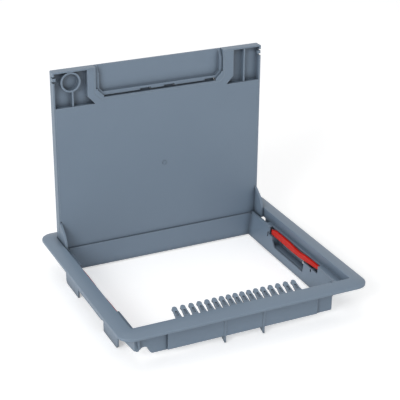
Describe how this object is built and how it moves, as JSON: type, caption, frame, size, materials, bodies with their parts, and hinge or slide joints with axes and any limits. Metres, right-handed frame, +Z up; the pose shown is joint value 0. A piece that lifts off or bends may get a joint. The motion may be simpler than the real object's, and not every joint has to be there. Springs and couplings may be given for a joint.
{
  "type": "floor service outlet cover",
  "caption": "Recessed floor outlet frame with a hinged lid standing open, a cord flap, a cord comb and two release levers.",
  "frame": {"origin": "centre of the flange at finished floor level, the plane of the flange's underside", "axes": "+X right along the lid's hinge seen from the front, +Y back towards the hinge, +Z up"},
  "size_m": [0.265, 0.24, 0.2245],
  "materials": {
    "grey_plastic": "satin",
    "red_plastic": "satin",
    "plated_steel": "satin"
  },
  "bodies": {
    "housing": {"frame": "grey_plastic", "comb": "grey_plastic", "hinge_pin_left": "grey_plastic", "hinge_pin_right": "grey_plastic", "latch_bar_left": "plated_steel", "latch_bar_right": "plated_steel", "latch_post_left": "plated_steel", "latch_post_right": "plated_steel", "lever_pin_left": "plated_steel", "lever_pin_right": "plated_steel", "clamp_front_left": "plated_steel", "clamp_front_right": "plated_steel", "clamp_rear_left": "plated_steel", "clamp_rear_right": "plated_steel"},
    "lid": {"lid_tray": "grey_plastic", "lid_sheet": "grey_plastic", "flap_pin": "plated_steel"},
    "flap": {"cord_flap": "grey_plastic"},
    "lever_l": {"lever_left": "red_plastic"},
    "lever_r": {"lever_right": "red_plastic"}
  },
  "joints": [
    {"name": "lid_hinge", "type": "hinge", "parent": "housing", "child": "lid", "pos_m": [0, 0.0924, -0.006], "axis": [1, 0, 0], "range_deg": [0, 90]},
    {"name": "flap_hinge", "type": "hinge", "parent": "lid", "child": "flap", "pos_m": [0, 0.1026, 0.1585], "axis": [-1, 0, 0], "range_deg": [0, 90]},
    {"name": "lever_left_pivot", "type": "hinge", "parent": "housing", "child": "lever_l", "pos_m": [-0.1122, 0.0455, -0.01], "axis": [0, 0, 1], "range_deg": [0, 75]},
    {"name": "lever_right_pivot", "type": "hinge", "parent": "housing", "child": "lever_r", "pos_m": [0.1122, 0.0455, -0.01], "axis": [0, 0, -1], "range_deg": [0, 75]}
  ]
}
